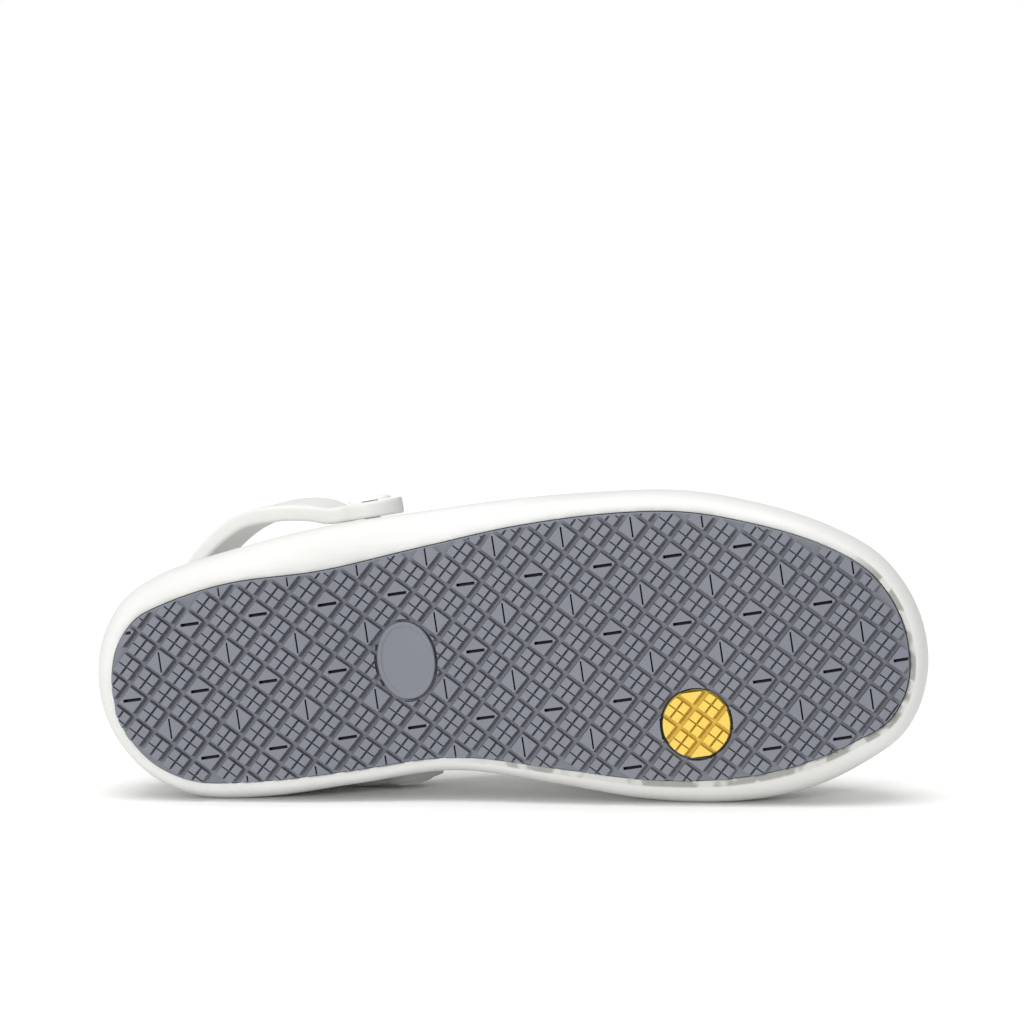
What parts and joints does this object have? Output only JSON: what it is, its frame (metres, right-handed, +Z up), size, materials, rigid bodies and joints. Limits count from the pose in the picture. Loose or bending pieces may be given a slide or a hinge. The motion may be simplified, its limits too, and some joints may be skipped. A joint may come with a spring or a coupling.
{
  "type": "occupational clog",
  "caption": "Moulded closed-toe work clog with a heel strap and a slip-resistant lugged rubber outsole, lying on its inner side.",
  "frame": {"origin": "middle of the part's footprint on the floor, at floor height", "axes": "+Z up from the floor, +X along the floor from heel to toe, the sole faces -Y; the shoe lies on its inner side"},
  "size_m": [0.3002, 0.1022, 0.112],
  "materials": {
    "upper_foam": "smooth moulded white foam, matt with a soft sheen",
    "outsole_rubber": "matt moulded grey rubber with diamond lugs",
    "plug_rubber": "matt moulded yellow rubber",
    "insole_foam": "fine textured white foam",
    "strap_foam": "smooth moulded white foam",
    "rivet_plastic": "satin white plastic"
  },
  "bodies": {
    "root": {"upper": "upper_foam", "outsole": "outsole_rubber", "tread_plug": "plug_rubber", "insole": "insole_foam", "heel_strap": "strap_foam", "rivet_lateral": "rivet_plastic", "rivet_medial": "rivet_plastic"}
  },
  "joints": []
}
